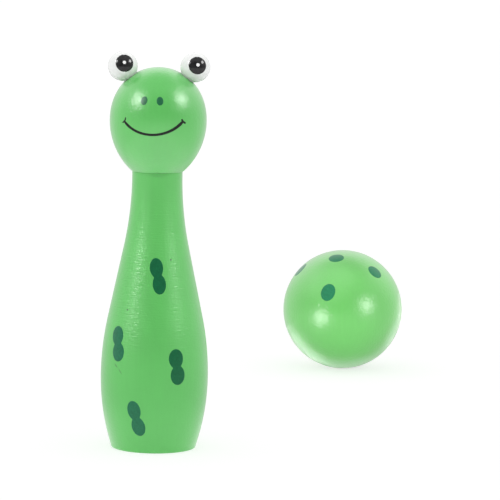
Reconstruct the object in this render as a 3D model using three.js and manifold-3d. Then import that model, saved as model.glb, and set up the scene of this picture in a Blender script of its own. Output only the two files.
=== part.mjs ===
// Wooden bowling set for small hands: a frog skittle and its ball, in millimetres, +Z up.
// The skittle stands on the origin and looks along -Y. The ball rests on the same floor beyond it.
import * as THREE from 'three';
import { mergeVertices } from 'three/addons/utils/BufferGeometryUtils.js';
import Module from 'manifold-3d';

const wasm = await Module();
wasm.setup();

// Body: one turning from the foot to the joint face under the head
const bodyHeight = 72.1;
const footRadius = 11.1;
const footEdge = 0.8;
const bellyRadius = 13.9;
const bellyHeight = 18.7;
const neckRadius = 6.5;
const neckStraight = 1.4;
// Radii of the shoulder and of the hollow neck, as shares of the reverse curve that joins belly
// and neck with no straight between its two arcs. What they leave is the straight taper.
const shoulderShare = 0.4;
const neckHollowShare = 0.467;

// Head: a second turning, egg-shaped, measured up from the joint face
const headSeatRadius = 6.7;
const headRadius = 12.5;
const cheekHeight = 13.1;
const crownRise = 13.7;
// Handles of the crown's curve, as shares of its rise and of the head's radius
const crownRiseShare = 0.623;
const crownWidthShare = 0.524;

// Dowel that joins head and body, glued into a blind bore on each side
const dowelRadius = 3;
const dowelLength = 20;
const dowelChamfer = 0.6;
const dowelClearance = 0.2;
// Depth of a drill's point as a share of the bore's radius
const drillPointShare = 0.6;

// Eyes: beads hollowed to the crown's curve, each on a peg
const eyeRadius = 3.86;
const eyeLean = 34;
const eyeSink = 0.6;
const seatGap = 0.3;
const pegRadius = 1.2;
const pegInHead = 4;
const pegInEye = 3;
const pegChamfer = 0.3;
const pegClearance = 0.2;

// Ball, at the place where it lies before it is rolled at the skittle
const ballRadius = 17.5;
const ballDistance = 151.8;
const ballBearing = 70;

// Facets: sides of a turning, of a bead, of a peg and of the ball, and steps along one curve
const turningSides = 48;
const beadSides = 24;
const pegSides = 16;
const ballSides = 40;
const edgeSteps = 3;
const curveSteps = 8;

const greenLacquer = { color: 0x74c870, roughness: 0.38, metalness: 0 };
const whiteLacquer = { color: 0xeef0ee, roughness: 0.25, metalness: 0 };
const bareWood = { color: 0xd9b88a, roughness: 0.75, metalness: 0 };

const point = (radius, height) => new THREE.Vector2(radius, height);

// A piece turned about +Z from its outline, which runs up the outside from the axis.
function turned(outline, sides) {
  return new THREE.LatheGeometry(outline, sides).rotateX(Math.PI / 2);
}

// Points of an arc about a centre, between two angles from the outward direction.
function arc(radius, centre, from, to) {
  const points = [];
  for (let step = 0; step <= curveSteps; step += 1) {
    const angle = THREE.MathUtils.lerp(from, to, step / curveSteps);
    points.push(point(centre.x + radius * Math.cos(angle), centre.y + radius * Math.sin(angle)));
  }
  return points;
}

// Arc that ends upright at the widest turning and starts at a narrower one below it.
function swellingArc(narrow, low, wide, level) {
  const inset = wide - narrow;
  const rise = level - low;
  const radius = (rise * rise + inset * inset) / (2 * inset);
  return arc(radius, point(wide - radius, level), -Math.asin(rise / radius), 0);
}

// Shoulder arc, straight taper and hollow neck arc, upright at both ends.
function reverseCurve(wide, low, narrow, high) {
  const inset = wide - narrow;
  const rise = high - low;
  const longest = (rise * rise + inset * inset) / (2 * inset);
  const shoulder = longest * shoulderShare;
  const hollow = longest * neckHollowShare;
  const inner = point(wide - shoulder, low);
  const outer = point(narrow + hollow, high);
  const between = outer.clone().sub(inner);
  const lean = between.angle() - Math.acos((shoulder + hollow) / between.length());
  return [
    ...arc(shoulder, inner, 0, lean),
    ...arc(hollow, outer, Math.PI + lean, Math.PI),
  ];
}

// Blind bore from a joint face to the drill's point on the axis; depth is negative going down.
function blindBore(radius, face, depth) {
  const tip = Math.sign(depth) * radius * drillPointShare;
  return [point(radius, face), point(radius, face + depth), point(0, face + depth + tip)];
}

function bodyOutline() {
  const neckHeight = bodyHeight - neckStraight;
  const corner = new THREE.QuadraticBezierCurve(
    point(footRadius - footEdge, 0), point(footRadius, 0), point(footRadius, footEdge));
  const bore = blindBore(
    dowelRadius + dowelClearance, bodyHeight, -dowelLength / 2 - dowelClearance);
  return [
    point(0, 0),
    ...corner.getPoints(edgeSteps),
    ...swellingArc(footRadius, footEdge, bellyRadius, bellyHeight).slice(1),
    ...reverseCurve(bellyRadius, bellyHeight, neckRadius, neckHeight).slice(1),
    point(neckRadius, bodyHeight),
    ...bore,
  ];
}

// Cheeks and crown, from the joint face to the top. A grown outline lies that far outside the head.
function headOutline(grown) {
  const wide = headRadius + grown;
  const rise = crownRise + grown;
  const crown = new THREE.CubicBezierCurve(
    point(wide, cheekHeight),
    point(wide, cheekHeight + rise * crownRiseShare),
    point(wide * crownWidthShare, cheekHeight + rise),
    point(0, cheekHeight + rise));
  return [
    ...swellingArc(headSeatRadius + grown, 0, wide, cheekHeight),
    ...crown.getPoints(curveSteps * 2).slice(1),
  ];
}

// A rod along Z with chamfered ends.
function rod(radius, low, high, chamfer, sides) {
  return turned([
    point(0, low),
    point(radius - chamfer, low),
    point(radius, low + chamfer),
    point(radius, high - chamfer),
    point(radius - chamfer, high),
    point(0, high),
  ], sides);
}

// Distance from the middle of the head's widest turning to its surface, along an eye's axis.
function surfaceReach(lean) {
  const middle = point(0, cheekHeight);
  const along = point(Math.sin(lean), Math.cos(lean));
  const offsets = headOutline(0).map((spot) => spot.sub(middle));
  const next = offsets.findIndex((spot) => spot.cross(along) <= 0);
  const edge = offsets[next].clone().sub(offsets[next - 1]);
  return offsets[next].cross(edge) / along.cross(edge);
}

// A closed geometry as a solid that can be cut: shared vertices, no collapsed triangles.
function solid(geometry) {
  const bare = geometry.clone();
  bare.deleteAttribute('normal');
  bare.deleteAttribute('uv');
  const merged = mergeVertices(bare);
  const index = merged.index.array;
  const corners = [];
  for (let at = 0; at < index.length; at += 3) {
    const [a, b, c] = index.slice(at, at + 3);
    if (a !== b && b !== c && c !== a) corners.push(a, b, c);
  }
  return new wasm.Manifold(new wasm.Mesh({
    numProp: 3,
    vertProperties: merged.attributes.position.array,
    triVerts: Uint32Array.from(corners),
  }));
}

// What is left of a geometry once the cutters are taken from it.
function cut(geometry, cutters) {
  const left = cutters.reduce((rest, cutter) => rest.subtract(solid(cutter)), solid(geometry));
  const { vertProperties, triVerts } = left.getMesh();
  const result = new THREE.BufferGeometry();
  result.setAttribute('position', new THREE.BufferAttribute(vertProperties, 3));
  result.setIndex(new THREE.BufferAttribute(triVerts, 1));
  result.computeVertexNormals();
  return result;
}

// An eye's axis is its group's Z: out of the middle of the head's widest turning, leaning sideways.
const lean = THREE.MathUtils.degToRad(eyeLean);
const seatReach = surfaceReach(lean);

function placeEye(group, side) {
  group.position.z = cheekHeight;
  group.rotation.y = side * lean;
  group.updateMatrix();
  return group;
}

// Room for a peg and its glue.
function pegBore() {
  const radius = pegRadius + pegClearance;
  const low = seatReach - pegInHead - pegClearance;
  const high = seatReach + pegInEye + pegClearance;
  return rod(radius, low, high, pegChamfer, pegSides);
}

function headGeometry() {
  const bore = blindBore(dowelRadius + dowelClearance, 0, dowelLength / 2 + dowelClearance);
  const blank = turned([...bore.reverse(), ...headOutline(0)], turningSides);
  const bores = [-1, 1].map((side) => {
    const eye = placeEye(new THREE.Group(), side);
    return pegBore().applyMatrix4(eye.matrix);
  });
  return cut(blank, bores);
}

// A bead whose seat is hollowed to the crown, with its half of the peg's bore.
function eyeGeometry(eye) {
  const bead = new THREE.SphereGeometry(eyeRadius, beadSides, beadSides / 2)
    .rotateX(Math.PI / 2)
    .translate(0, 0, seatReach - eyeSink + eyeRadius);
  const crown = turned([point(0, 0), ...headOutline(seatGap)], turningSides)
    .applyMatrix4(eye.matrix.clone().invert());
  return cut(bead, [crown, pegBore()]);
}

function pegGeometry() {
  return rod(pegRadius, seatReach - pegInHead, seatReach + pegInEye, pegChamfer, pegSides);
}

function dowelGeometry() {
  return rod(dowelRadius, -dowelLength / 2, dowelLength / 2, dowelChamfer, turningSides);
}

function ballGeometry() {
  return new THREE.SphereGeometry(ballRadius, ballSides, ballSides / 2).rotateX(Math.PI / 2);
}

function piece(name, geometry, finish) {
  const mesh = new THREE.Mesh(geometry, new THREE.MeshStandardMaterial(finish));
  mesh.name = name;
  return mesh;
}

// Head, dowel and eyes, standing on the joint face. Left and right are as seen from the front.
function headAssembly() {
  const head = new THREE.Group();
  head.position.z = bodyHeight;
  head.add(piece('pin_head', headGeometry(), greenLacquer));
  head.add(piece('neck_dowel', dowelGeometry(), bareWood));
  for (const [name, side] of [['left', -1], ['right', 1]]) {
    const eye = placeEye(new THREE.Group(), side);
    eye.add(piece(`eye_${name}`, eyeGeometry(eye), whiteLacquer));
    eye.add(piece(`eye_peg_${name}`, pegGeometry(), bareWood));
    head.add(eye);
  }
  return head;
}

function skittle() {
  const pin = new THREE.Group();
  pin.add(piece('pin_body', turned(bodyOutline(), turningSides), greenLacquer));
  pin.add(headAssembly());
  return pin;
}

function ball() {
  const bearing = THREE.MathUtils.degToRad(ballBearing);
  const mesh = piece('ball', ballGeometry(), greenLacquer);
  mesh.position.set(ballDistance * Math.cos(bearing), ballDistance * Math.sin(bearing), ballRadius);
  return mesh;
}

const bowlingSet = new THREE.Group();
bowlingSet.add(skittle());
bowlingSet.add(ball());

export default bowlingSet;
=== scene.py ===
# Frog skittle and ball of a wooden bowling set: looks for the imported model.
# Lengths in the dictionaries are millimetres and angles are degrees; meshes are made in metres.
# A turn is counted from the front (-Y) towards +X, a lift from level upwards.
import bpy
import math
import numpy as np
from mathutils import Matrix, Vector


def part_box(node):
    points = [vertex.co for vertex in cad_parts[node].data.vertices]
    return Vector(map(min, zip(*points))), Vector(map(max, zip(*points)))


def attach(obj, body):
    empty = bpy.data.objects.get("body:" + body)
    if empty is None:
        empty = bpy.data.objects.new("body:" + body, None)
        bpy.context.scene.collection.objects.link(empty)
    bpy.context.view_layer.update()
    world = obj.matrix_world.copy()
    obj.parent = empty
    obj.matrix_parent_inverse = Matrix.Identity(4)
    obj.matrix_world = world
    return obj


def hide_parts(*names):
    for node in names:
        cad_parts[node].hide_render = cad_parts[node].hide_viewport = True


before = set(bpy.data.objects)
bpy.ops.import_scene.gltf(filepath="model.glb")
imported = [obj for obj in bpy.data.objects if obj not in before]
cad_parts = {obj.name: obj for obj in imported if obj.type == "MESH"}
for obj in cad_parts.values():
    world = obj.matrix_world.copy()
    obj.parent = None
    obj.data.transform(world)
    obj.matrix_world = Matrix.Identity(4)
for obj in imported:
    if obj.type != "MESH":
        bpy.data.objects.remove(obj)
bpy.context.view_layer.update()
mm = 0.001
print("frame loaded:", ", ".join(sorted(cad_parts)))


# Camera and light

camera = dict(
    distance=1000.0,     # in front of the skittle's axis
    right=24.23,         # to its right
    height=173.83,       # above the floor
    pitchDown=6.947,
    lean=1.05,           # turns the picture so that the skittle leans to the right
    focalPixels=3897.5,  # focal length in the picture's pixels
    framePixels=500.0,
    sensorWidth=36.0,
    nearest=10.0,        # what lies nearer or farther isn't drawn
    farthest=100000.0,
)

lamps = dict(
    # lights: the pieces that it lights; toward: the direction that it shines from; long and
    # short: its size seen from the object; spin: turns it round its own beam; radiance: 1 is white;
    # only: limits it to diffuse light or to reflections
    left=dict(lights="pin", toward=(-0.709, -0.386, 0.591),
              long=22.0, short=18.0, spin=133.0, radiance=12.4),
    right=dict(lights="pin", toward=(0.753, -0.249, 0.609),
               long=22.0, short=17.0, spin=32.0, radiance=11.6),
    low=dict(lights="pin", toward=(0.0, -0.12, -0.99),
             long=80.0, short=80.0, radiance=0.70, only="diffuse"),
    chin=dict(lights="head", toward=(0.0, -0.30, -0.95),
              long=115.0, short=115.0, radiance=0.42),
    front=dict(lights="body", toward=(0.0, -1.0, 0.1),
               long=120.0, short=120.0, radiance=0.25, only="diffuse"),
    stripLeft=dict(lights="body", toward=(-0.82, -0.435, 0.53),
                   long=28.0, short=20.0, radiance=5.2, only="glossy"),
    stripRight=dict(lights="body", toward=(0.80, -0.47, 0.53),
                    long=32.0, short=24.0, radiance=2.8, only="glossy"),
    ballLeft=dict(lights="ball", toward=(-0.684, -0.708, -0.175),
                  long=16.0, short=13.0, spin=88.0, radiance=19.0),
    ballRight=dict(lights="ball", toward=(0.716, -0.662, 0.222),
                   long=17.0, short=14.0, spin=92.0, radiance=15.5),
    ballUpper=dict(lights="ball", toward=(-0.36, -0.42, 0.83),
                   long=80.0, short=80.0, radiance=0.57, only="glossy"),
    rimLeft=dict(lights="ball", toward=(-0.50, 0.60, -0.62),
                 long=38.0, short=38.0, radiance=1.3, only="glossy"),
    rimRight=dict(lights="ball", toward=(0.60, 0.75, -0.28),
                  long=36.0, short=36.0, radiance=0.65, only="glossy"),
    rimLow=dict(lights="ball", toward=(0.0, 0.64, -0.77),
                long=44.0, short=44.0, radiance=0.6, only="glossy"),
)
lampDistance = 900.0

surround = dict(
    sky=0.91,               # brightness of the surroundings for diffuse light, at the horizon
    zenith=0.62,            # and overhead
    backdrop=0.80,          # and for reflections, behind the pieces
    upperBackdrop=1.36,     # and above them
    upperHeight=0.6,        # sine of the lift from which it is that bright
    roof=0.56,              # darker again overhead
    roofEdge=(0.75, 0.87),  # sines of the lift between which it darkens
    room=0.12,              # darker room on the camera's side, in reflections
    roomEdge=(-0.6, 0.85),  # where one passes into the other: cosines from the front
)

ground = dict(
    colour=0.66,            # what the floor throws back on to the pieces
    seenColour=0.45,        # how the camera sees it: white, with a soft shadow
    seenGlow=0.71,
    mirroredGlow=0.38,      # how bright the pieces mirror it, far from the skittle
    nearGlow=0.72,          # and close to it
    nearReach=(22.0, 60.0),  # where one passes into the other, from the skittle's axis
    size=12000.0,
)


def aimedMatrix(place, target):
    # A frame at place whose -Z points to target.
    away = np.array(place) - np.array(target)
    z = away / np.linalg.norm(away)
    x = np.cross((0.0, 0.0, 1.0), z)
    x = x / np.linalg.norm(x)
    y = np.cross(z, x)
    turn = Matrix([[x[i], y[i], z[i]] for i in range(3)]).to_4x4()
    return Matrix.Translation(place) @ turn


def makeCamera(d):
    # Stands in front of the skittle and to its right, pitched down and turned about its own view.
    data = bpy.data.cameras.new("camera")
    data.sensor_width = d["sensorWidth"]
    data.lens = d["focalPixels"] / d["framePixels"] * d["sensorWidth"]
    data.clip_start = d["nearest"] * mm
    data.clip_end = d["farthest"] * mm
    seen = bpy.data.objects.new("camera", data)
    place = Matrix.Translation((d["right"] * mm, -d["distance"] * mm, d["height"] * mm))
    pitch = Matrix.Rotation(math.radians(90.0 - d["pitchDown"]), 4, "X")
    lean = Matrix.Rotation(math.radians(d["lean"]), 4, "Z")
    seen.matrix_world = place @ pitch @ lean
    bpy.context.scene.collection.objects.link(seen)
    bpy.context.scene.camera = seen


def makeLamp(name, d, distance, target, lit):
    # A soft oval lamp; its power is radiance times pi times its area.
    long, short = (
        2 * distance * math.tan(math.radians(d[side]) / 2) * mm for side in ("long", "short"))
    data = bpy.data.lights.new(name, "AREA")
    data.shape = "ELLIPSE"
    data.size = long
    data.size_y = short
    data.energy = d["radiance"] * math.pi * math.pi / 4 * long * short
    lamp = bpy.data.objects.new(name, data)
    toward = np.array(d["toward"]) / np.linalg.norm(d["toward"])
    target = np.array(target) * mm
    spin = Matrix.Rotation(math.radians(d.get("spin", 0.0)), 4, "Z")
    lamp.matrix_world = aimedMatrix(target + toward * distance * mm, target) @ spin
    bpy.context.scene.collection.objects.link(lamp)
    lamp.light_linking.receiver_collection = lit
    lamp.light_linking.blocker_collection = lit
    lamp.visible_diffuse = d.get("only") != "glossy"
    lamp.visible_glossy = d.get("only") != "diffuse"
    shinesDown = d["toward"][2] > 0     # the others shine through the floor
    data.cycles.use_multiple_importance_sampling = shinesDown


def nodeKit(owner):
    # Clears the owner's node tree and returns a helper that puts a node into it. A socket that is
    # given another socket is joined to it; any other value is set.
    owner.use_nodes = True
    tree = owner.node_tree
    tree.nodes.clear()

    def put(kind, sockets, **settings):
        node = tree.nodes.new("ShaderNode" + kind)
        for setting, value in settings.items():
            setattr(node, setting, value)
        for socket, value in sockets.items():
            if isinstance(value, bpy.types.NodeSocket):
                tree.links.new(value, node.inputs[socket])
            else:
                node.inputs[socket].default_value = value
        return node

    return put


def calc(put, operation, a, b=0.0, c=0.0):
    # The result of one operation on up to three values.
    return put("Math", {0: a, 1: b, 2: c}, operation=operation).outputs[0]


def between(put, share, low, high):
    # low where share is 0, high where it is 1.
    return put("Mix", {0: share, 2: low, 3: high}, data_type="FLOAT").outputs[0]


def makeWorld(d):
    # Even white surroundings: one strength for diffuse light, another for what is seen or mirrored.
    world = bpy.data.worlds.new("surround")
    bpy.context.scene.world = world
    put = nodeKit(world)
    path = put("LightPath", {}).outputs
    ray = put("SeparateXYZ", {"Vector": put("TexCoord", {}).outputs["Generated"]}).outputs
    backdrop = put("MapRange", {
        "Value": ray["Z"], "From Max": d["upperHeight"],
        "To Min": d["backdrop"], "To Max": d["upperBackdrop"],
    }).outputs["Result"]
    walls = put("MapRange", {
        "Value": calc(put, "MULTIPLY", ray["Y"], -1.0),
        "From Min": d["roomEdge"][0], "From Max": d["roomEdge"][1],
        "To Min": backdrop, "To Max": d["room"],
    }, interpolation_type="SMOOTHSTEP").outputs["Result"]
    mirrored = put("MapRange", {
        "Value": ray["Z"], "From Min": d["roofEdge"][0], "From Max": d["roofEdge"][1],
        "To Min": walls, "To Max": d["roof"],
    }, interpolation_type="SMOOTHSTEP").outputs["Result"]
    diffuse = put("MapRange", {
        "Value": ray["Z"], "To Min": d["sky"], "To Max": d["zenith"],
    }).outputs["Result"]
    reflective = calc(put, "MAXIMUM", path["Is Glossy Ray"], path["Is Transmission Ray"])
    unseen = between(put, reflective, diffuse, mirrored)
    strength = between(put, path["Is Camera Ray"], unseen, 1.0)
    white = put("Background", {"Color": (1.0, 1.0, 1.0, 1.0), "Strength": strength})
    put("OutputWorld", {"Surface": white.outputs["Background"]})


def makeFloor(d):
    # A plain white floor; its own glow in camera rays lifts it to white and keeps the shadow. In
    # reflections it glows more near the origin, where the skittle stands.
    half = d["size"] * mm / 2
    corners = [(-half, -half, 0), (half, -half, 0), (half, half, 0), (-half, half, 0)]
    mesh = bpy.data.meshes.new("floor")
    mesh.from_pydata(corners, [], [(0, 1, 2, 3)])
    floor = bpy.data.objects.new("floor", mesh)
    bpy.context.scene.collection.objects.link(floor)
    material = bpy.data.materials.new("floorWhite")
    put = nodeKit(material)
    path = put("LightPath", {}).outputs
    colour = between(put, path["Is Camera Ray"], d["colour"], d["seenColour"])
    reflective = calc(put, "MAXIMUM", path["Is Glossy Ray"], path["Is Transmission Ray"])
    place = put("TexCoord", {}).outputs["Object"]
    away = put("VectorMath", {0: place}, operation="LENGTH").outputs["Value"]
    mirrored = put("MapRange", {
        "Value": away, "From Min": d["nearReach"][0] * mm, "From Max": d["nearReach"][1] * mm,
        "To Min": d["nearGlow"], "To Max": d["mirroredGlow"],
    }, interpolation_type="SMOOTHSTEP").outputs["Result"]
    unseen = calc(put, "MULTIPLY", reflective, mirrored)
    glow = between(put, path["Is Camera Ray"], unseen, d["seenGlow"])
    lit = put("BsdfDiffuse", {"Color": colour})
    shining = put("Emission", {"Strength": glow})
    both = put("AddShader", {0: lit.outputs["BSDF"], 1: shining.outputs["Emission"]})
    put("OutputMaterial", {"Surface": both.outputs["Shader"]})
    mesh.materials.append(material)


ballLow, ballHigh = (np.array(corner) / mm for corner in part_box("ball"))
ballPlace = (ballLow + ballHigh) / 2
makeCamera(camera)
makeWorld(surround)
makeFloor(ground)
lampTargets = dict(
    # what each group of lamps is aimed at
    pin=(0.0, 0.0, 60.0), head=(0.0, 0.0, 85.0), body=(0.0, 0.0, 45.0), ball=ballPlace,
)
litPieces = {name: bpy.data.collections.new(name + "Lit") for name in lampTargets}
for lampName, lamp in lamps.items():
    makeLamp(lampName, lamp, lampDistance, lampTargets[lamp["lights"]], litPieces[lamp["lights"]])
bpy.context.scene.view_settings.view_transform = "Standard"
print("camera, lamps and floor are set")


# Outlines: arrays of (radius, height) points in millimetres

bodyTurning = dict(
    height=72.1, footRadius=11.1, footEdge=0.8, bellyRadius=13.9, bellyHeight=18.7,
    neckRadius=6.5, neckStraight=1.4, shoulderShare=0.4, neckHollowShare=0.467,
    topEdge=0.05, boreRadius=3.2, boreDepth=10.2, drillPointShare=0.6,
    footSteps=9, bellySteps=30, shoulderSteps=36, topSteps=6,      # points on each stretch
)

headTurning = dict(
    seatRadius=6.7, seatEdge=0.09, radius=12.5, cheekHeight=13.1, crownRise=13.7,
    crownRiseShare=0.623, crownWidthShare=0.524,
    boreRadius=3.2, boreDepth=10.2, drillPointShare=0.6,
    seatSteps=6, cheekSteps=48, crownSteps=72,
)

ballTurning = dict(radius=17.5, sides=256, rows=128)
skittleTurning = dict(sides=224, sharpFrom=50.0)    # for body and head; angle of a sharp edge


def arcPoints(centre, radius, start, end, steps):
    # Points centre + radius * (cos a, sin a), with a running evenly from start to end in radians.
    a = np.linspace(start, end, steps)
    return np.stack([centre[0] + radius * np.cos(a), centre[1] + radius * np.sin(a)], axis=1)


def roundedCorner(before, corner, after, steps):
    # Quadratic curve (1-t)^2 before + 2t(1-t) corner + t^2 after.
    t = np.linspace(0.0, 1.0, steps)[:, None]
    before, corner, after = (np.array(point) for point in (before, corner, after))
    return (1 - t) ** 2 * before + 2 * t * (1 - t) * corner + t ** 2 * after


def swellingArc(narrow, low, wide, level, steps):
    # The circle that is upright at (wide, level) and passes through (narrow, low) below it.
    inset, rise = wide - narrow, level - low
    radius = (rise ** 2 + inset ** 2) / (2 * inset)
    return arcPoints((wide - radius, level), radius, -math.asin(rise / radius), 0.0, steps)


def reverseCurve(wide, low, narrow, high, shoulderShare, hollowShare, steps):
    # Two arcs, upright at their far ends, joined by their common inner tangent.
    inset, rise = wide - narrow, high - low
    longest = (rise ** 2 + inset ** 2) / (2 * inset)
    shoulder, hollow = longest * shoulderShare, longest * hollowShare
    inner = np.array((wide - shoulder, low))
    outer = np.array((narrow + hollow, high))
    reach = outer - inner
    tilt = math.atan2(reach[1], reach[0]) - math.acos((shoulder + hollow) / np.linalg.norm(reach))
    return np.concatenate([
        arcPoints(inner, shoulder, 0.0, tilt, steps),
        arcPoints(outer, hollow, math.pi + tilt, math.pi, steps),
    ])


def bodyOutline(d):
    # Up the outside from the foot's middle, over the top and down the blind bore to its point.
    top, neck = d["height"], d["neckRadius"]
    boreFloor = top - d["boreDepth"]
    return np.concatenate([
        [(0.0, 0.0), (d["footRadius"] / 2, 0.0)],
        roundedCorner((d["footRadius"] - d["footEdge"], 0.0), (d["footRadius"], 0.0),
                      (d["footRadius"], d["footEdge"]), d["footSteps"]),
        swellingArc(d["footRadius"], d["footEdge"], d["bellyRadius"], d["bellyHeight"],
                    d["bellySteps"])[1:],
        reverseCurve(d["bellyRadius"], d["bellyHeight"], neck, top - d["neckStraight"],
                     d["shoulderShare"], d["neckHollowShare"], d["shoulderSteps"])[1:],
        roundedCorner((neck, top - d["topEdge"]), (neck, top), (neck - d["topEdge"], top),
                      d["topSteps"]),
        [(d["boreRadius"], top), (d["boreRadius"], boreFloor),
         (0.0, boreFloor - d["boreRadius"] * d["drillPointShare"])],
    ])


def headSide(d):
    # Cheek arc from the seat to the widest turning, then a cubic curve over the crown to the axis.
    wide, rise, level = d["radius"], d["crownRise"], d["cheekHeight"]
    t = np.linspace(0.0, 1.0, d["crownSteps"])[:, None]
    start, end = np.array((wide, level)), np.array((0.0, level + rise))
    steep = np.array((wide, level + rise * d["crownRiseShare"]))
    flat = np.array((wide * d["crownWidthShare"], level + rise))
    lower = (1 - t) ** 3 * start + 3 * t * (1 - t) ** 2 * steep
    crown = lower + 3 * t ** 2 * (1 - t) * flat + t ** 3 * end
    cheek = swellingArc(d["seatRadius"], 0.0, wide, level, d["cheekSteps"])
    return np.concatenate([cheek, crown[1:]])


def headOutline(d, seatHeight):
    # Down the bore, across the seat and up the outside to the crown.
    bore, depth = d["boreRadius"], d["boreDepth"]
    side = headSide(d)
    above = side[side[:, 1] > d["seatEdge"]]
    outline = np.concatenate([
        [(0.0, depth + bore * d["drillPointShare"]), (bore, depth), (bore, 0.0)],
        roundedCorner((d["seatRadius"] - d["seatEdge"], 0.0), (d["seatRadius"], 0.0), above[0],
                      d["seatSteps"])[:-1],
        above,
    ])
    return outline + np.array((0.0, seatHeight))


# Meshes from grids of points

def closedSkin(rings, startPole, endPole):
    # Rings of points, each closed on itself, joined by quads; a pole closes each end with triangles.
    count, sides = rings.shape[:2]
    points = np.concatenate([rings.reshape(-1, 3), [startPole, endPole]])
    row, column = np.meshgrid(np.arange(count - 1), np.arange(sides), indexing="ij")
    following = (column + 1) % sides
    quads = np.stack([
        row * sides + column, row * sides + following,
        (row + 1) * sides + following, (row + 1) * sides + column,
    ], axis=-1).reshape(-1, 4)
    around = np.arange(sides)
    onward = (around + 1) % sides
    last = (count - 1) * sides
    first = np.stack([np.full(sides, count * sides), onward, around], axis=1)
    final = np.stack([np.full(sides, count * sides + 1), last + around, last + onward], axis=1)
    return points, quads, np.concatenate([first, final])


def buildMesh(name, points, quads, triangles):
    # A smooth mesh in metres; its faces turn round if the volume that they enclose is negative.
    split = np.concatenate([quads[:, :3], quads[:, [0, 2, 3]], triangles])
    a, b, c = (points[split[:, corner]] for corner in range(3))
    if (a * np.cross(b, c)).sum() < 0:
        quads, triangles = quads[:, ::-1], triangles[:, ::-1]
    mesh = bpy.data.meshes.new(name)
    mesh.from_pydata((points * mm).tolist(), [], quads.tolist() + triangles.tolist())
    mesh.polygons.foreach_set("use_smooth", np.ones(len(mesh.polygons), bool))
    mesh.update()
    return mesh


def turnedSkin(outline, sides):
    # Each outline point (r, h) goes round the axis: x = r sin a, y = -r cos a, z = h.
    a = np.linspace(0.0, 2 * math.pi, sides, endpoint=False)
    r, h = outline[1:-1, 0, None], outline[1:-1, 1, None]
    rings = np.stack([r * np.sin(a), -r * np.cos(a), h + 0 * a], axis=-1)
    return closedSkin(rings, (0.0, 0.0, outline[0, 1]), (0.0, 0.0, outline[-1, 1]))


def sphereSkin(centre, radius, sides, rows):
    # Parallels of a sphere between its two poles: centre + radius * (sin p cos a, sin p sin a, cos p).
    p = np.linspace(0.0, math.pi, rows + 1)[1:-1, None]
    a = np.linspace(0.0, 2 * math.pi, sides, endpoint=False)
    out = np.stack([np.sin(p) * np.cos(a), np.sin(p) * np.sin(a), np.cos(p) + 0 * a], axis=-1)
    pole = np.array((0.0, 0.0, radius))
    return closedSkin(centre + radius * out, centre + pole, centre - pole)


def addPiece(name, mesh, material, body, replaced=None, sharpFrom=None, lampGroup=None):
    # The piece rides on its body and takes that body's lamps and those of a further group.
    mesh.materials.append(material)
    if sharpFrom is not None:
        mesh.set_sharp_from_angle(angle=math.radians(sharpFrom))
    piece = bpy.data.objects.new(name, mesh)
    bpy.context.scene.collection.objects.link(piece)
    litPieces[body].objects.link(piece)
    if lampGroup:
        litPieces[lampGroup].objects.link(piece)
    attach(piece, body)
    if replaced:
        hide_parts(replaced)


# Surfaces that carry beads, ink and marks

def surfaceOf(line):
    # A turned surface as a function of turn and height: its point, its outward normal, its radius.
    step = 0.05     # the rise over which the slope is taken

    def at(turn, height):
        heights = (height, height + step, height - step)
        radius, ahead, behind = (np.interp(level, line[:, 1], line[:, 0]) for level in heights)
        out = np.stack([np.sin(turn), -np.cos(turn), 0 * turn], axis=-1)
        point = out * radius[..., None]
        point[..., 2] = height
        normal = out.copy()
        normal[..., 2] = (behind - ahead) / (2 * step)
        return point, normal / np.linalg.norm(normal, axis=-1)[..., None], radius

    return at


def direction(turn, lift):
    # (sin t cos e, -cos t cos e, sin e) for a turn t and a lift e.
    t, e = math.radians(turn), math.radians(lift)
    return np.array((math.sin(t) * math.cos(e), -math.cos(t) * math.cos(e), math.sin(e)))


headBase = bodyTurning["height"]
bodyLine = bodyOutline(bodyTurning)
headLine = headOutline(headTurning, headBase)
bodyAt = surfaceOf(bodyLine[3:-3])      # without the foot's face and the bore
headAt = surfaceOf(headLine[4:])        # without the bore and the seat

eyeBead = dict(
    radius=3.86, lean=34.0, sink=0.63, seatEdge=0.14, seatSunk=0.02, sides=96, rings=60,
    # the seat's rings as shares of its rim; those of its edge also with their rise, a share of it
    edgeRings=((0.985, 0.45), (0.96, 0.1)), seatRings=(0.93, 0.8, 0.6, 0.4, 0.2),
    slideReach=3.0,     # how far the crown's surface is looked for, either way along the axis
)


def axisReach(d, head):
    # Where the eye's slanted axis leaves the crown, measured from the middle of the widest turning.
    side = headSide(head) - np.array((0.0, head["cheekHeight"]))
    angle, length = np.arctan2(side[:, 0], side[:, 1]), np.hypot(side[:, 0], side[:, 1])
    order = np.argsort(angle)
    return float(np.interp(math.radians(d["lean"]), angle[order], length[order]))


def eyeFrame(d, head, base, side):
    # Origin in the middle of the head's widest turning, three axes with the last along the eye,
    # and the bead's own centre on that axis.
    lean = math.radians(d["lean"]) * side
    along = np.array((math.sin(lean), 0.0, math.cos(lean)))
    front = np.array((0.0, -1.0, 0.0))
    origin = np.array((0.0, 0.0, base + head["cheekHeight"]))
    centre = origin + along * (axisReach(d, head) - d["sink"] + d["radius"])
    return origin, np.cross(front, along), front, along, centre


eyeSides = dict(left=-1, right=1)
eyePlaces = {name: eyeFrame(eyeBead, headTurning, headBase, side) for name, side in eyeSides.items()}


# Finishes

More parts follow.
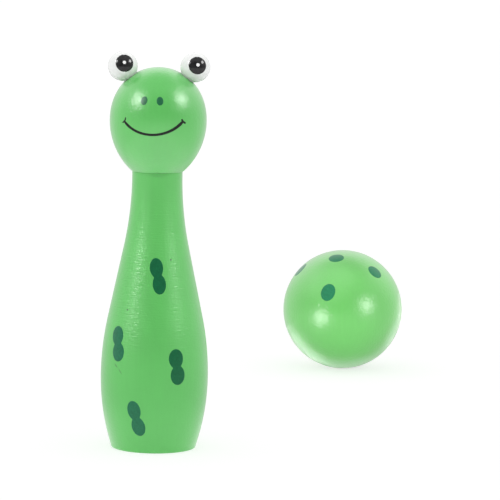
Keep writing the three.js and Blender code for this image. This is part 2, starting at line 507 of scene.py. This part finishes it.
greenLacquer = dict(
    colour=(0.092, 0.505, 0.092), spread=0.045, specular=0.4, refraction=1.5,
    roughness=(0.28, 0.40),                           # lowest and highest, along the fibres
    coatRoughness=0.30, coatIor=1.70, bloom=0.03, bloomRoughness=0.4,
    cloudCell=11.0, fibreCell=(0.7, 0.7, 14.0),       # wood's tone under the lacquer
    fibreShare=0.35,                                  # how much of the tone comes from the fibres
    ringCell=(40.0, 40.0, 0.17), ringDepth=0.008,     # turning rings, much deeper on the body
    peelCell=0.54, peelDepth=0.095,                   # fine unevenness of the sprayed coat
    followed=0.3,                                     # how much of both the paint below shows
)
bodyLacquer = dict(greenLacquer, colour=(0.079, 0.500, 0.079), coatRoughness=0.38,
                   ringCell=(2.4, 2.4, 0.36), ringDepth=0.078, peelDepth=0.045)
ballLacquer = dict(greenLacquer, colour=(0.158, 0.655, 0.127), coatIor=1.75,
                   ringCell=(0.44, 40.0, 40.0), ringDepth=0.02, peelCell=0.60, peelDepth=0.115)

blemishesAndSeamShade = dict(
    # short dark marks, some of them painted seam shade, from one (turn, height) to another; half their
    # width; how much they darken
    head=[
        # painted shade in the seam between head and body, darker in places
        dict(start=(8.0, 72.15), end=(22.0, 72.15), half=0.26, depth=0.36),
        dict(start=(-13.0, 72.15), end=(5.0, 72.15), half=0.22, depth=0.12),
        dict(start=(62.6, 72.1), end=(77.0, 72.1), half=0.24, depth=0.50),
    ],
    body=[
        # a darker patch on the neck just under the seam; then specks and scratches in the lacquer
        dict(start=(-10.0, 71.4), end=(8.0, 71.4), half=0.30, depth=0.10),
        dict(start=(26.34, 50.05), end=(26.4, 50.05), half=0.24, depth=0.95),
        dict(start=(-36.34, 37.10), end=(-36.3, 37.10), half=0.26, depth=0.80),
        dict(start=(-46.0, 23.01), end=(-42.4, 22.21), half=0.18, depth=0.55),
        dict(start=(-40.0, 21.89), end=(-36.0, 20.70), half=0.17, depth=0.45),
    ],
)
blemishAndShadeEdge = (0.4, 1.3)      # a mark fades between these shares of its size
paintedBeadShade = dict(reach=0.20, edge=0.06, depth=0.62)        # painted shade: a dark line on the head round each bead, where it meets the crown
toneEdge = (0.3, 0.7)         # the noise between which a colour passes from dark to light


def pattern(put, place, cell, detail, turn=(0.0, 0.0, 0.0)):
    # Noise from 0 to 1 whose features measure cell, along axes turned by turn.
    stretched = put("Mapping", {
        "Vector": place, "Rotation": turn, "Scale": tuple(np.broadcast_to(cell, 3) * mm),
    }, vector_type="TEXTURE")
    noise = put("TexNoise", {"Vector": stretched.outputs["Vector"], "Scale": 1.0, "Detail": detail})
    return noise.outputs["Fac"]


def shadedBy(put, tone, mask, depth):
    # The tone darkened by depth where the mask is 1.
    keep = calc(put, "MULTIPLY_ADD", mask, -depth, 1.0)
    return put("VectorMath", {0: tone, "Scale": keep}, operation="SCALE").outputs["Vector"]


def twoTones(put, share, colour, spread):
    # From a colour's darker shade to its lighter one, each a spread away from it, as share grows.
    low, high = toneEdge
    share = put("MapRange", {"Value": share, "From Min": low, "From Max": high}).outputs["Result"]
    darker = (*(channel * (1 - spread) for channel in colour), 1.0)
    lighter = (*(min(channel * (1 + spread), 1.0) for channel in colour), 1.0)
    return put("Mix", {0: share, 6: darker, 7: lighter}, data_type="RGBA").outputs[2]


def blemishAndShadeMask(put, place, at, d):
    # 1 inside a thin ellipsoid laid along the surface from the mark's start to its end.
    ends = [at(np.radians(turn), np.array(float(height))) for turn, height in (d["start"], d["end"])]
    (start, normal, _), (end, _, _) = ends
    length = np.linalg.norm(end - start)
    x = (end - start) / length
    z = np.cross(x, normal)
    y = np.cross(z, x)
    turned = Matrix([[x[i], y[i], z[i]] for i in range(3)]).to_euler()
    size = (length / 2 + d["half"], 2 * d["half"], d["half"])
    local = put("Mapping", {
        "Vector": place, "Location": tuple((start + end) / 2 * mm), "Rotation": tuple(turned),
        "Scale": tuple(side * mm for side in size),
    }, vector_type="TEXTURE")
    reach = put("VectorMath", {0: local.outputs["Vector"]}, operation="LENGTH").outputs["Value"]
    return put("MapRange", {
        "Value": reach, "From Min": blemishAndShadeEdge[0], "From Max": blemishAndShadeEdge[1],
        "To Min": 1.0, "To Max": 0.0,
    }, interpolation_type="SMOOTHSTEP").outputs["Result"]


def lacquer(name, d, marks=(), beads=()):
    # Satin lacquer on turned wood: cloudy tone, faint fibres, turning rings and a fine unevenness;
    # on top, dark specks and scratches, painted shade along the seam and a line of painted shade round
    # each bead.
    material = bpy.data.materials.new(name)
    put = nodeKit(material)
    place = put("TexCoord", {}).outputs["Object"]
    cloud = pattern(put, place, d["cloudCell"], detail=3.0)
    fibres = pattern(put, place, d["fibreCell"], detail=4.0)
    rings = pattern(put, place, d["ringCell"], detail=1.0)
    peel = pattern(put, place, d["peelCell"], detail=1.0)
    tone = twoTones(put, between(put, d["fibreShare"], cloud, fibres), d["colour"], d["spread"])
    # specks and scratches, and painted shade along the seam between head and body
    for mark in marks:
        at = headAt if mark["start"][1] > headBase else bodyAt
        tone = shadedBy(put, tone, blemishAndShadeMask(put, place, at, mark), mark["depth"])
    # painted shade on the head in a thin ring round each bead
    rim = (eyeBead["radius"] + paintedBeadShade["reach"]) * mm
    edge = paintedBeadShade["edge"] * mm
    for bead in beads:
        away = put("VectorMath", {0: place, 1: tuple(bead * mm)}, operation="DISTANCE")
        mask = put("MapRange", {
            "Value": away.outputs["Value"], "From Min": rim - edge, "From Max": rim + edge,
            "To Min": 1.0, "To Max": 0.0,
        }).outputs["Result"]
        tone = shadedBy(put, tone, mask, paintedBeadShade["depth"])
    height = calc(put, "MULTIPLY", rings, d["ringDepth"])
    height = calc(put, "MULTIPLY_ADD", peel, d["peelDepth"], height)
    onTop, below = (
        put("Bump", {"Strength": 1.0, "Distance": share * mm, "Height": height}).outputs["Normal"]
        for share in (1.0, d["followed"]))
    shader = put("BsdfPrincipled", {
        "Base Color": tone, "Roughness": between(put, fibres, *d["roughness"]),
        "IOR": d["refraction"], "Specular IOR Level": d["specular"],
        "Coat Weight": 1.0, "Coat Roughness": d["coatRoughness"], "Coat IOR": d["coatIor"],
        "Sheen Weight": d["bloom"], "Sheen Roughness": d["bloomRoughness"],
        "Normal": below, "Coat Normal": onTop,
    })
    put("OutputMaterial", {"Surface": shader.outputs["BSDF"]})
    return material


printedInk = dict(spread=0.12, roughness=0.34, specular=0.08, cell=0.6, depth=0.03, coatIor=1.32)
plainFinishes = dict(
    # cell: size of the clouds in tone and roughness; depth: how uneven they make the surface;
    # coatIor: refraction of the clear coat under which an ink lies
    beadLacquer=dict(colour=(0.80, 0.81, 0.80), spread=0.015, roughness=0.16, specular=0.5,
                     cell=1.4, depth=0.006),
    greenInk=dict(printedInk, colour=(0.004, 0.135, 0.048)),
    # the green ink lightened by painted reflection, for the spots on the skittle's left
    paintedHazeInk=dict(printedInk, colour=(0.017, 0.174, 0.081)),
    noseInk=dict(printedInk, colour=(0.004, 0.140, 0.050), specular=0.2, cell=0.4, depth=0.05,
                 coatIor=1.6),
    ballInk=dict(printedInk, colour=(0.021, 0.248, 0.110), spread=0.10, specular=0.06,
                 coatIor=1.30),
    lineInk=dict(colour=(0.005, 0.005, 0.005), spread=0.3, roughness=0.4, specular=0.4,
                 cell=0.6, depth=0.01),
    pupilInk=dict(colour=(0.018, 0.018, 0.019), spread=0.4, roughness=0.12, specular=0.5,
                  cell=0.9, depth=0.004),
    whiteInk=dict(colour=(0.93, 0.93, 0.93), spread=0.02, roughness=0.3, specular=0.5,
                  cell=0.6, depth=0.01),
)
glossSpread = 0.15      # how far a plain finish's roughness strays, as a share of it


def gloss(name, d):
    # A plain coat or ink with slight clouds in tone and roughness and a fine unevenness.
    material = bpy.data.materials.new(name)
    put = nodeKit(material)
    cloud = pattern(put, put("TexCoord", {}).outputs["Object"], d["cell"], detail=3.0)
    bump = put("Bump", {"Strength": 1.0, "Distance": d["depth"] * mm, "Height": cloud})
    smoother, rougher = (d["roughness"] * (1 + side * glossSpread) for side in (-1, 1))
    shader = put("BsdfPrincipled", {
        "Base Color": twoTones(put, cloud, d["colour"], d["spread"]),
        "Roughness": between(put, cloud, smoother, rougher),
        "Specular IOR Level": d["specular"], "Normal": bump.outputs["Normal"],
    })
    if "coatIor" in d:
        shader.inputs["Coat Weight"].default_value = 1.0
        shader.inputs["Coat Roughness"].default_value = greenLacquer["coatRoughness"]
        shader.inputs["Coat IOR"].default_value = d["coatIor"]
    put("OutputMaterial", {"Surface": shader.outputs["BSDF"]})
    return material


beadCentres = [place[-1] for place in eyePlaces.values()]
bodyPaint = lacquer("bodyLacquer", bodyLacquer, blemishesAndSeamShade["body"])
headPaint = lacquer("headLacquer", greenLacquer, blemishesAndSeamShade["head"], beadCentres)
ballPaint = lacquer("ballLacquer", ballLacquer)
plainCoats = {name: gloss(name, finish) for name, finish in plainFinishes.items()}
print("finishes are mixed")


# Skittle and ball

addPiece("skittleBody", buildMesh("skittleBody", *turnedSkin(bodyLine, skittleTurning["sides"])),
         bodyPaint, "pin", "pin_body", skittleTurning["sharpFrom"], "body")
addPiece("skittleHead", buildMesh("skittleHead", *turnedSkin(headLine, skittleTurning["sides"])),
         headPaint, "pin", "pin_head", skittleTurning["sharpFrom"], "head")
ballSkin = sphereSkin(ballPlace, ballTurning["radius"], ballTurning["sides"], ballTurning["rows"])
addPiece("rolledBall", buildMesh("rolledBall", *ballSkin), ballPaint, "ball", "ball")
print("body, head and ball are turned")


# Eyes

def depthInHead(points, head, base):
    # How far a point lies inside the head's turned surface, across the axis; negative outside.
    side = headSide(head)
    radius = np.interp(points[..., 2] - base, side[:, 1], side[:, 0], right=-1.0)
    return radius - np.hypot(points[..., 0], points[..., 1])


def halving(inside, near, far, times=40):
    # The last value between near and far for which inside holds, found by halving, whole arrays at
    # once.
    for _ in range(times):
        middle = (near + far) / 2
        holds = inside(middle)
        near, far = np.where(holds, middle, near), np.where(holds, far, middle)
    return near


def beadMesh(name, d, head, base, eye):
    # Rings of a sphere from its outer pole down to where it meets the crown, then the seat, whose
    # points slide along the eye's axis on to the crown's surface.
    origin, across, front, along, middle = eye
    a = np.linspace(0.0, 2 * math.pi, d["sides"], endpoint=False)
    spoke = np.cos(a)[:, None] * across + np.sin(a)[:, None] * front

    def ringAt(polar):
        return middle + d["radius"] * (np.sin(polar)[..., None] * spoke + np.cos(polar)[..., None] * along)

    def aboveHead(polar):
        return depthInHead(ringAt(polar) - along * d["seatEdge"], head, base) < 0

    clear = halving(aboveHead, np.full(a.shape, math.pi / 2), np.full(a.shape, math.pi))
    rim = ringAt(clear)
    foot = origin + along * ((rim - origin) @ along)[:, None]

    def onHead(share, sunk):
        start = foot + (rim - foot) * share
        farthest = np.full(a.shape, d["slideReach"])
        slide = halving(lambda s: depthInHead(start + along * s[:, None], head, base) > 0,
                        -farthest, farthest)
        return start + along * (slide - sunk)[:, None]

    rings = [ringAt(share * clear) for share in np.linspace(0.0, 1.0, d["rings"])[1:]]
    rings.extend(onHead(share, -d["seatEdge"] * raised) for share, raised in d["edgeRings"])
    rings.extend(onHead(share, d["seatSunk"]) for share in d["seatRings"])
    return buildMesh(name, *closedSkin(
        np.array(rings), middle + along * d["radius"], onHead(0.0, d["seatSunk"])[0]))


for sideName, eye in eyePlaces.items():
    bead = beadMesh("eyeBead_" + sideName, eyeBead, headTurning, headBase, eye)
    addPiece("eyeBead_" + sideName, bead, plainCoats["beadLacquer"], "pin",
             "eye_" + sideName, lampGroup="head")
print("eye beads are seated")


# Printed marks: ink films a few hundredths of a millimetre proud of the surface that carries them

ink = dict(
    proud=0.02, sunk=0.05, sides=72, rings=14,
    ringPower=0.6,      # draws the rings together towards the outline
    edgePower=12,       # the higher, the steeper the film's edge
    strokeSides=16, strokePower=6,
)


def onTurning(at, turn, height, radius=None):
    # A flat sheet laid round a turned surface: u follows the circumference, v the height. The
    # circumference is that of the surface at each height, or that of the radius given.
    middle = math.radians(turn)

    def place(u, v):
        around = at(0 * u, height + v)[2] if radius is None else radius
        point, normal, _ = at(middle + u / around, height + v)
        return point, normal

    return place


def onSphere(centre, radius, turn, lift):
    # A sheet laid on a sphere: u to the right and v up from the direction given by turn and lift.
    out = direction(turn, lift)
    right = direction(turn + 90.0, 0.0)
    up = np.cross(out, right)

    def place(u, v):
        flat = np.hypot(u, v) + 1e-12     # keeps the middle from a division by zero
        sheet = (u / flat)[..., None] * right + (v / flat)[..., None] * up
        normal = np.cos(flat / radius)[..., None] * out + np.sin(flat / radius)[..., None] * sheet
        return centre + radius * normal, normal

    return place


def blotMesh(name, place, reach, d=ink, layer=1):
    # A blot of ink: rings shrink the outline reach(angle) to its middle; the film is full height
    # inside and falls to nothing at the outline, and an underside closes it below the surface.
    # Layer 2 lies on another blot.
    proud = layer * d["proud"]
    a = np.linspace(0.0, 2 * math.pi, d["sides"], endpoint=False)
    share = np.linspace(0.0, 1.0, d["rings"] + 1)[1:, None] ** d["ringPower"]
    point, normal = place(share * reach(a) * np.cos(a), share * reach(a) * np.sin(a))
    upper = point + normal * (proud * (1 - share ** d["edgePower"]))[..., None]
    lower = point[:-1] - normal[:-1] * d["sunk"]
    middle, out = place(np.zeros(1), np.zeros(1))
    return buildMesh(name, *closedSkin(
        np.concatenate([upper, lower[::-1]]), middle[0] + out[0] * proud, middle[0] - out[0] * d["sunk"]))


def ovalReach(width, height, tilt=0.0):
    # Distance from the middle of a tilted oval to its edge at each angle.
    turn = math.radians(tilt)

    def reach(a):
        return 1 / np.hypot(np.cos(a - turn) / (width / 2), np.sin(a - turn) / (height / 2))

    return reach


def pairReach(d, soft):
    # Two ovals, the second a step along a leaning line from the first, seen from the middle of the
    # step: at each angle the farther of their two edges, the power soft rounding the notches.
    tilt, lean = math.radians(d["tilt"]), math.radians(d["lean"])
    half, tall = d["width"] / 2, d["tall"] / 2
    stepX = -math.sin(lean - tilt) * d["apart"] / 2 / half
    stepY = math.cos(lean - tilt) * d["apart"] / 2 / tall

    def reach(a):
        x, y = np.cos(a - tilt) / half, np.sin(a - tilt) / tall
        p, q, r = x ** 2 + y ** 2, x * stepX + y * stepY, stepX ** 2 + stepY ** 2 - 1
        root = np.sqrt(q ** 2 - p * r)
        return (((root + q) / p) ** soft + ((root - q) / p) ** soft) ** (1 / soft)

    return reach


def strokeMesh(name, place, line, widths, d=ink):
    # A pen stroke: a flat tube along the line's points with their own widths, closed at both ends.
    along = np.gradient(line, axis=0)
    along = along / np.linalg.norm(along, axis=1)[:, None]
    turn = np.linspace(0.0, 2 * math.pi, d["strokeSides"], endpoint=False)
    aside = np.cos(turn) * widths[:, None] / 2
    point, normal = place(line[:, :1] - along[:, 1:] * aside, line[:, 1:] + along[:, :1] * aside)
    flank = 1 - np.abs(np.cos(turn)) ** d["strokePower"]
    raised = np.where(np.sin(turn) >= 0, d["proud"], -d["sunk"]) * flank
    ends, _ = place(line[[0, -1], 0], line[[0, -1], 1])
    return buildMesh(name, *closedSkin((point + normal * raised[:, None])[1:-1], *ends))


spotPairs = dict(
    # turn and height of the pair's middle; lean of the line between its ovals, tilt of each oval,
    # and the ovals' width, height and distance; the two pairs on the left take an ink lightened by painted
    # reflection
    throat=dict(turn=4.5, height=45.96, lean=10.4, tilt=5.0,
                width=3.45, tall=5.07, apart=4.25, ink="greenInk"),
    flank=dict(turn=-44.45, height=28.28, lean=11.0, tilt=5.0,
               width=4.0, tall=4.97, apart=4.18, ink="paintedHazeInk"),
    belly=dict(turn=26.28, height=22.91, lean=6.0, tilt=0.0,
               width=4.0, tall=5.01, apart=4.29, ink="greenInk"),
    hem=dict(turn=-18.82, height=9.38, lean=14.0, tilt=12.5,
             width=3.65, tall=5.08, apart=4.35, ink="paintedHazeInk"),
)
spotSoft = 4.5      # the lower, the rounder the notches between the two ovals

for spotName, spot in spotPairs.items():
    sheet = onTurning(bodyAt, spot["turn"], spot["height"])
    blot = blotMesh("spot_" + spotName, sheet, pairReach(spot, spotSoft))
    addPiece("spot_" + spotName, blot, plainCoats[spot["ink"]], "pin")

smileLine = dict(
    turn=-6.13, centre=94.04, radius=11.54, start=-43.4, end=45.7,
    middleWidth=0.64, leftWidth=0.79, rightWidth=0.90, points=90,
    swellPower=1.8, endPower=24,       # the first for the growth from the middle, the other
                                       # for the round ends
    tickLeft=[(-7.53, -7.36), (-7.78, -8.29), (-8.67, -8.82)], tickLeftWidth=0.45,
    tickRight=[(7.91, -7.45), (8.26, -8.09), (9.14, -8.62)], tickRightWidth=0.54,
    tickPoints=24, tickEndPower=6,
)


def roundEnds(s, power):
    # The square root of 1 - |s|^power: 1 along the middle of a stroke, 0 at its ends, s = -1 and 1.
    return np.sqrt(np.clip(1 - np.abs(s) ** power, 0.0, 1.0))


def smileMeshes(d, at, sheetRadius):
    # The mouth is an arc of a circle laid on the head, whose width grows from the middle with a
    # power of the distance; a tick is the quadratic curve through its three points.
    sheet = onTurning(at, d["turn"], d["centre"], sheetRadius)
    a = np.radians(np.linspace(d["start"], d["end"], d["points"]))
    s = np.linspace(-1.0, 1.0, d["points"])
    corner = np.where(s < 0, d["leftWidth"], d["rightWidth"])
    width = d["middleWidth"] + (corner - d["middleWidth"]) * np.abs(s) ** d["swellPower"]
    arc = d["radius"] * np.stack([np.sin(a), -np.cos(a)], axis=1)
    yield "smile", strokeMesh("smile", sheet, arc, width * roundEnds(s, d["endPower"]))
    t = np.linspace(0.0, 1.0, d["tickPoints"])
    for name in ("tickLeft", "tickRight"):
        first, corner, last = np.array(d[name])
        handle = 2 * corner - (first + last) / 2
        curve = roundedCorner(first, handle, last, d["tickPoints"])
        width = d[name + "Width"] * roundEnds(2 * t - 1, d["tickEndPower"])
        yield name, strokeMesh(name, sheet, curve, width)


for strokeName, stroke in smileMeshes(smileLine, headAt, headTurning["radius"]):
    addPiece(strokeName, stroke, plainCoats["lineInk"], "pin")

nostril = dict(middle=-7.0, turn=10.3, height=91.08, width=1.72, tall=2.14)
nostrilOval = ovalReach(nostril["width"], nostril["tall"])
for sideName, side in eyeSides.items():
    sheet = onTurning(headAt, nostril["middle"] + side * nostril["turn"], nostril["height"])
    blot = blotMesh("nostril_" + sideName, sheet, nostrilOval)
    addPiece("nostril_" + sideName, blot, plainCoats["noseInk"], "pin")

pupil = dict(
    across=4.88, glintAcross=0.92,
    left=dict(turn=9.7, lift=17.7, glintTurn=7.95, glintLift=18.5),
    right=dict(turn=10.75, lift=12.9, glintTurn=11.65, glintLift=13.8),
)
pupilRound = ovalReach(pupil["across"], pupil["across"])
glintRound = ovalReach(pupil["glintAcross"], pupil["glintAcross"])
for sideName, eye in eyePlaces.items():
    look = pupil[sideName]
    sheet = onSphere(eye[-1], eyeBead["radius"], look["turn"], look["lift"])
    blot = blotMesh("pupil_" + sideName, sheet, pupilRound)
    addPiece("pupil_" + sideName, blot, plainCoats["pupilInk"], "pin")
    sheet = onSphere(eye[-1], eyeBead["radius"], look["glintTurn"], look["glintLift"])
    blot = blotMesh("glint_" + sideName, sheet, glintRound, layer=2)
    addPiece("glint_" + sideName, blot, plainCoats["whiteInk"], "pin")

ballDots = dict(
    # turn and lift from the ball's middle; width, height and tilt of each printed oval
    front=dict(turn=-17.06, lift=23.5, width=4.24, tall=5.26, tilt=-11.0),
    top=dict(turn=-19.4, lift=66.65, width=4.55, tall=4.4, tilt=0.0),
    right=dict(turn=47.2, lift=45.0, width=4.3, tall=4.55, tilt=26.0),
    left=dict(turn=-81.8, lift=42.5, width=4.6, tall=4.8, tilt=0.0),
    leftRear=dict(turn=-106.0, lift=52.7, width=4.5, tall=4.5, tilt=0.0),
    rear=dict(turn=162.5, lift=72.6, width=4.4, tall=4.8, tilt=0.0),
)
for dotName, dot in ballDots.items():
    sheet = onSphere(ballPlace, ballTurning["radius"], dot["turn"], dot["lift"])
    oval = ovalReach(dot["width"], dot["tall"], dot["tilt"])
    blot = blotMesh("ballDot_" + dotName, sheet, oval)
    addPiece("ballDot_" + dotName, blot, plainCoats["ballInk"], "ball")
print("ink is printed")


# Hidden wood

bareWood = dict(
    colour=(0.62, 0.42, 0.22), spread=0.12, roughness=(0.55, 0.75), cloudCell=(2.0, 2.0, 9.0),
    poreCell=(0.25, 0.25, 3.0), poreEdge=(0.56, 0.68), poreDepth=0.4, grainDepth=0.02,
)


def turnedWood(name, d, lean):
    # Bare wood whose fibres run along a leaning axis: pores as thin dark streaks on a cloudy tone.
    material = bpy.data.materials.new(name)
    put = nodeKit(material)
    place = put("TexCoord", {}).outputs["Object"]
    turn = (0.0, math.radians(lean), 0.0)
    cloud = pattern(put, place, d["cloudCell"], detail=2.0, turn=turn)
    pores = pattern(put, place, d["poreCell"], detail=4.0, turn=turn)
    dark = put("MapRange", {
        "Value": pores, "From Min": d["poreEdge"][0], "From Max": d["poreEdge"][1],
    }).outputs["Result"]
    tone = shadedBy(put, twoTones(put, cloud, d["colour"], d["spread"]), dark, d["poreDepth"])
    bump = put("Bump", {"Strength": 1.0, "Distance": d["grainDepth"] * mm, "Height": pores})
    shader = put("BsdfPrincipled", {
        "Base Color": tone, "Roughness": between(put, pores, *d["roughness"]),
        "Normal": bump.outputs["Normal"],
    })
    put("OutputMaterial", {"Surface": shader.outputs["BSDF"]})
    return material


woodLeans = dict(neck_dowel=0.0, eye_peg_left=-eyeBead["lean"], eye_peg_right=eyeBead["lean"])
for nodeName, lean in woodLeans.items():
    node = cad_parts[nodeName]
    node.data.materials.clear()
    node.data.materials.append(turnedWood(nodeName + "Wood", bareWood, lean))
    litPieces["pin"].objects.link(node)
print("dowel and pegs are bare wood")

bpy.context.view_layer.update()
